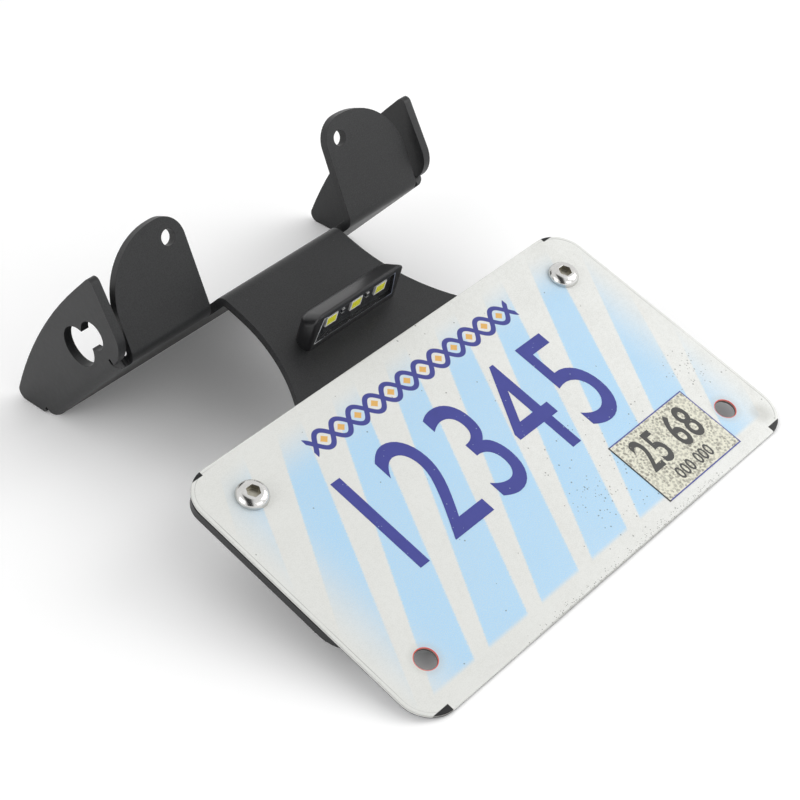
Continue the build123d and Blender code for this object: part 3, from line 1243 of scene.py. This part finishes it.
@dataclass
class NumberPlate:
    """The plate with its figures, its sticker and its screws, in millimetres."""

    edge: float = 0.15
    figures: Lettering = Lettering("plate_figures", "12345", 38.0, 0.74, 1.12, 0.08)
    figures_x: float = -2.0
    figures_u: float = 5.0
    figures_ink: PrintInk = PrintInk("navy_ink", (0.044, 0.05, 0.245), (0.3, 0.36, 0.5))
    sticker_w: float = 38.1
    sticker_h: float = 25.4
    sticker_t: float = 0.15
    sticker_side: float = 22.65
    sticker_low: float = 4.5
    sticker_edge: float = 0.03
    sticker_figures: Lettering = Lettering(
        "sticker_figures", "25 68", 13.0, 0.66, 1.06, 0.03, 0.015
    )
    sticker_figures_up: float = 3.4
    sticker_row: Lettering = Lettering("sticker_row", "000 000", 4.6, 0.8, 1.05, 0.03, 0.015)
    sticker_row_up: float = -7.8
    sticker_ink: PrintInk = PrintInk(
        "sticker_ink", (0.06, 0.06, 0.058), (0.4, 0.38, 0.3), Specks(0.8, 0.3, 0.12)
    )
    zinc: Steel = Steel("zinc_steel", (0.64, 0.635, 0.62), (0.16, 0.32))
    screw_edge: float = 0.12
    washer_edge: float = 0.15
    nut_edge: float = 0.3
    axes: PlateAxes = field(init=False)

    def __post_init__(self) -> None:
        """Finds the plate's axes."""
        self.axes = PlateAxes.from_record(frame["record"])

    def build(self) -> None:
        """Makes and dresses all the pieces of the plate."""
        self._sheet()
        self._figures()
        self._sticker()
        self._fixings()

    def _sheet(self) -> None:
        """The plate itself."""
        sheet = EdgedCopy("number_plate", "number_plate_printed", self.edge, segments=2)
        sheet.make(PlateSheeting(self.axes).material(), Slot.PLATE)

    def _figures(self) -> None:
        """The plate's raised figures."""
        piece = self.figures.make(self.axes, self.figures_x, self.figures_u, 0.0)
        keep(piece, self.figures_ink.material(), Slot.PLATE)

    def _sticker(self) -> None:
        """The sticker and its two rows of figures."""
        x = PLATE.half_w - self.sticker_side - self.sticker_w / 2
        u = self.sticker_low + self.sticker_h / 2 - PLATE.half_h
        vinyl = StickerVinyl(self.axes, x, u, self.sticker_w / 2, self.sticker_h / 2)
        sheet = EdgedCopy("registration_sticker", "sticker_printed", self.sticker_edge, segments=2)
        sheet.make(vinyl.material(), Slot.STICKER)
        ink = self.sticker_ink.material()
        rows = (
            (self.sticker_figures, self.sticker_figures_up),
            (self.sticker_row, self.sticker_row_up),
        )
        for row, up in rows:
            keep(row.make(self.axes, x, u + up, self.sticker_t), ink, Slot.STICKER)

    def _fixings(self) -> None:
        """Screws, washers and nuts of the plate."""
        bright = ScrewSteel(self.axes).material()
        zinc = self.zinc.material()
        fixings = (
            ("plate_screws", bright, self.screw_edge, ScrewThread(self.axes).cut),
            ("plate_washers", zinc, self.washer_edge, None),
            ("plate_nuts", zinc, self.nut_edge, None),
        )
        for node, steel, edge, shape in fixings:
            EdgedCopy(node, f"{node}_steel", edge).make(steel, Slot.STEEL, shape)


@dataclass
class PlateLamp:
    """The lamp over the plate: x along it, v back from its front and w up from its foot.

    Lengths are in millimetres.
    """

    axes: PlateAxes
    front_u: float = 63.8
    foot_n: float = -1.2
    length: float = 40.6
    depth: float = 7.7
    brow_h: float = 16.1
    back_h: float = 10.0
    brow_round: float = 1.6
    front_round: float = 1.2
    roof_round: float = 2.2
    end_round: float = 3.3
    back_round: float = 4.4
    round_segments: int = 6
    tolerance: float = 1.0
    window_w: float = 36.4
    window_top_w: float = 33.0
    window_low: float = 2.2
    window_h: float = 11.2
    window_ahead: float = 1.0
    recess: float = 2.45
    lip: float = 0.12
    lip_segments: int = 2
    lip_sharp: float = radians(50)
    rim_w: float = 0.32
    rim_t: float = 0.04
    rim_inset: float = 0.05
    chip_n: float = 7.8
    chip_half: float = 0.62
    plastic: Moulded = Moulded("lamp_shell", (0.011, 0.011, 0.012), (0.26, 0.38))
    led_white: Moulded = Moulded("led_frame", (0.9, 0.9, 0.88), (0.25, 0.4))
    led_gel: Moulded = Moulded("led_gel", (0.94, 0.92, 0.03), (0.2, 0.35))
    rubber: Moulded = Moulded("grommet_rubber", (0.02, 0.02, 0.02), (0.6, 0.8), Noise(0.5))
    black_steel: Steel = Steel("black_steel", (0.16, 0.16, 0.165), (0.3, 0.45))

    def build(self) -> None:
        """Makes and dresses the lamp's pieces."""
        keep(self._shell(), self.plastic.material(), Slot.LAMP, "lamp_housing")
        frosted = FrostedRim(self.axes, self.window_top_w / 2)
        keep(self._rim(), frosted.material(), Slot.LENS)
        chip = ChipBody(self.axes, self.chip_n, self.chip_half)
        pieces = (
            ("lamp_lens", Slot.LENS, ClearPlastic(), 0.12),
            ("lamp_circuit_board", Slot.BOARD, SolderMask(self.axes), 0.1),
            ("led_packages", Slot.LED_FRAME, self.led_white, 0.08),
            ("led_phosphors", Slot.PHOSPHOR, self.led_gel, 0.05),
            ("lamp_resistors", Slot.CHIP, chip, 0.06),
            ("lamp_screws", Slot.DARK_SCREW, self.black_steel, 0.25),
            ("cable_grommet", Slot.RUBBER, self.rubber, 0.3),
        )
        for node, slot, finish, edge in pieces:
            EdgedCopy(node, f"{node}_dressed", edge).make(finish.material(), slot)

    def _settle(self, piece: Piece) -> None:
        """Moves a piece drawn at the origin to the lamp's place on the neck."""
        piece.data.transform(self.axes.place(0.0, self.front_u, self.foot_n))

    def _block(self, name: str, shape: Callable[[Vector], Spot]) -> Piece:
        """A cube whose corners are moved to a shape.

        Args:
            name: Its name.
            shape: Gives a corner's place from its signs.

        Returns:
            The block.
        """
        piece = added(bpy.ops.mesh.primitive_cube_add, name, size=2.0)
        for corner in piece.data.vertices:
            corner.co = Vector(shape(corner.co.copy())) * MM
        return piece

    def _bar(self, sign: Vector) -> Spot:
        """Corners of the housing's bar."""
        back = self.depth if sign.y > 0 else 0.0
        top = self.back_h if sign.y > 0 else self.brow_h
        return sign.x * self.length / 2, back, top if sign.z > 0 else 0.0

    def _opening(self, sign: Vector) -> Spot:
        """Corners of what is cut out behind the window."""
        half = (self.window_top_w if sign.z > 0 else self.window_w) / 2
        back = self.recess if sign.y > 0 else -self.window_ahead
        return sign.x * half, back, self.window_low + (self.window_h if sign.z > 0 else 0.0)

    def _shell(self) -> Piece:
        """The housing: a bar with a slanting roof and rounded ends, and a window in its front."""
        piece = self._block("lamp_shell", self._bar)
        self._weigh(piece)
        round_edges(piece, self.back_round, self.round_segments)
        cutter = self._block("lamp_window_cut", self._opening)
        window = piece.modifiers.new("window", "BOOLEAN")
        window.operation = "DIFFERENCE"
        window.solver = "EXACT"
        window.object = cutter
        select_only(piece)
        bpy.ops.object.modifier_apply(modifier=window.name)
        bpy.data.objects.remove(cutter)
        bpy.ops.object.shade_smooth_by_angle(angle=SMOOTH_BELOW)
        round_edges(piece, self.lip, self.lip_segments, self.lip_sharp)
        self._settle(piece)
        return piece

    def _weigh(self, piece: Piece) -> None:
        """Sets how far each of the bar's edges is rounded, as a part of the widest rounding."""
        weights = piece.data.attributes.new("bevel_weight_edge", "FLOAT", "EDGE")
        corners = piece.data.vertices
        for edge in piece.data.edges:
            a, b = (corners[index].co / MM for index in edge.vertices)
            across = abs(a.x - b.x) > self.tolerance
            high = min(a.z, b.z) > self.tolerance
            front = a.y < self.tolerance
            width = 0.0
            if across and high:
                width = self.brow_round if front else self.roof_round
            elif high:
                width = self.end_round
            elif not across and abs(a.z - b.z) > self.tolerance:
                width = self.front_round if front else self.back_round
            weights.data[edge.index].value = width / self.back_round

    def _rim(self) -> Piece:
        """A thin frosted line round the lens."""
        piece = added(bpy.ops.mesh.primitive_plane_add, "lens_rim", size=2.0)
        for corner in piece.data.vertices:
            high = corner.co.y > 0
            half = (self.window_top_w if high else self.window_w) / 2 - self.rim_inset
            rise = self.window_low + (self.window_h - self.rim_inset if high else self.rim_inset)
            corner.co = Vector((copysign(half, corner.co.x), self.rim_t, rise)) * MM

        def ring() -> None:
            """Leaves only a ring of the sheet and gives it a thickness."""
            bpy.ops.mesh.inset(thickness=self.rim_w * MM)
            bpy.ops.mesh.delete(type="FACE")
            bpy.ops.mesh.select_all(action="SELECT")
            bpy.ops.mesh.solidify(thickness=self.rim_t * MM)
            bpy.ops.mesh.normals_make_consistent(inside=False)

        in_edit_mode(piece, ring)
        self._settle(piece)
        return piece


@dataclass(frozen=True)
class SoftLamp:
    """A square soft light aimed at the part, in metres and watts."""

    name: str
    spot: Spot
    power: float
    size: float

    def hang(self) -> None:
        """Adds the light."""
        light = added(bpy.ops.object.light_add, self.name, type="AREA", location=self.spot)
        light.data.energy = self.power
        light.data.size = self.size
        light.rotation_euler = (-Vector(self.spot)).to_track_quat("-Z", "Y").to_euler()


@dataclass(frozen=True)
class DarkStrip:
    """A dark strip in the sky, from the front up to overhead, which the camera doesn't see."""

    ahead: Spot = (-0.74, -0.67, 0.0)
    ahead_limits: Range = (-0.2, 0.05)
    across: Spot = (0.67, -0.74, 0.0)
    across_limits: Range = (0.38, 0.2)
    level: float = 0.05

    def tone(self, kit: NodeKit) -> Socket:
        """The sky's tone, which is 1 outside the strip and where the camera sees the sky.

        Args:
            kit: The world's nodes.

        Returns:
            The tone.
        """
        ahead = kit.step(self._facing(kit, self.ahead), *self.ahead_limits)
        across = kit.step(kit.size(self._facing(kit, self.across)), *self.across_limits)
        strip = kit.math("SUBTRACT", kit.times(ahead, across), kit.rays("Camera"), clamp=True)
        return kit.spread(strip, 1.0, self.level)

    def _facing(self, kit: NodeKit, way: Spot) -> Socket:
        """How far a direction of the world faces one way.

        Args:
            kit: The world's nodes.
            way: The way.

        Returns:
            1 straight that way, -1 straight away from it.
        """
        node = kit.new("VectorMath")
        node.operation = "DOT_PRODUCT"
        kit.put(node.inputs[0], kit.new("TexCoord").outputs["Generated"])
        kit.put(node.inputs[1], way)
        return node.outputs["Value"]


@dataclass
class Studio:
    """Floor, lights and camera, in metres and degrees."""

    floor_size: float = 6.0
    floor_bounce: float = 0.8
    floor_shown: float = 1.0
    floor_rough: float = 0.9
    floor_gloss: float = 0.1
    near_glow: float = 0.04
    far_glow: float = 0.24
    far_mm: Range = (300.0, 900.0)
    sky_light: float = 0.98
    strip: DarkStrip = DarkStrip()
    lamps: tuple[SoftLamp, ...] = (
        SoftLamp("key", (0.55, -0.35, 0.45), 2.0, 0.5),
        SoftLamp("fill", (0.05, -0.95, 0.36), 1.0, 0.6),
        SoftLamp("side", (-0.95, 0.15, 0.45), 2.2, 0.7),
    )
    camera_spot: Spot = (-0.35082, -0.31459, 0.39829)
    camera_turn: Spot = (51.0282, 0.7639, -46.9153)
    camera_clip: float = 0.01
    lens_mm: float = 85.78
    sensor_mm: float = 36.0
    shift: Range = (0.0803, -0.0253)

    def build(self) -> None:
        """Sets the stage."""
        self._floor()
        self._world()
        for lamp in self.lamps:
            lamp.hang()
        self._camera()
        bpy.context.scene.view_settings.view_transform = "Standard"

    def _floor(self) -> None:
        """A wide pale floor that glows a little where it is seen, and more far from the part."""
        floor = added(bpy.ops.mesh.primitive_plane_add, "floor", size=self.floor_size)
        kit = MaterialKit("floor_paper")
        seen = kit.rays(*SEEN_RAYS)
        far = kit.step(kit.length(kit.x, kit.u), *self.far_mm)
        kit.set(
            Base_Color=kit.grey(kit.spread(seen, self.floor_bounce, self.floor_shown)),
            Emission_Strength=kit.times(seen, kit.spread(far, self.near_glow, self.far_glow)),
            Roughness=self.floor_rough,
            Specular_IOR_Level=self.floor_gloss,
            Emission_Color=(1.0, 1.0, 1.0, 1.0),
        )
        dress(floor, kit.owner)

    def _world(self) -> None:
        """Even light from all round, white where it is seen, with one dark strip."""
        world = bpy.data.worlds.new("studio")
        bpy.context.scene.world = world
        kit = NodeKit(world, "Background")
        light = kit.spread(kit.rays(*SEEN_RAYS), self.sky_light, 1.0)
        kit.set(Strength=light, Color=kit.grey(self.strip.tone(kit)))

    def _camera(self) -> None:
        """A camera at the photograph's angle."""
        turn = Euler([radians(angle) for angle in self.camera_turn])
        camera = added(
            bpy.ops.object.camera_add, "Camera", location=self.camera_spot, rotation=turn
        )
        camera.data.lens = self.lens_mm
        camera.data.sensor_width = self.sensor_mm
        camera.data.shift_x, camera.data.shift_y = self.shift
        camera.data.clip_start = self.camera_clip
        bpy.context.scene.camera = camera


def main() -> None:
    """Builds the part's looks and the studio."""
    logging.basicConfig(level=logging.INFO)
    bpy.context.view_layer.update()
    plate = NumberPlate()
    FoldedBracket().build()
    plate.build()
    PlateLamp(plate.axes).build()
    Studio().build()


if __name__ == "__main__":
    main()
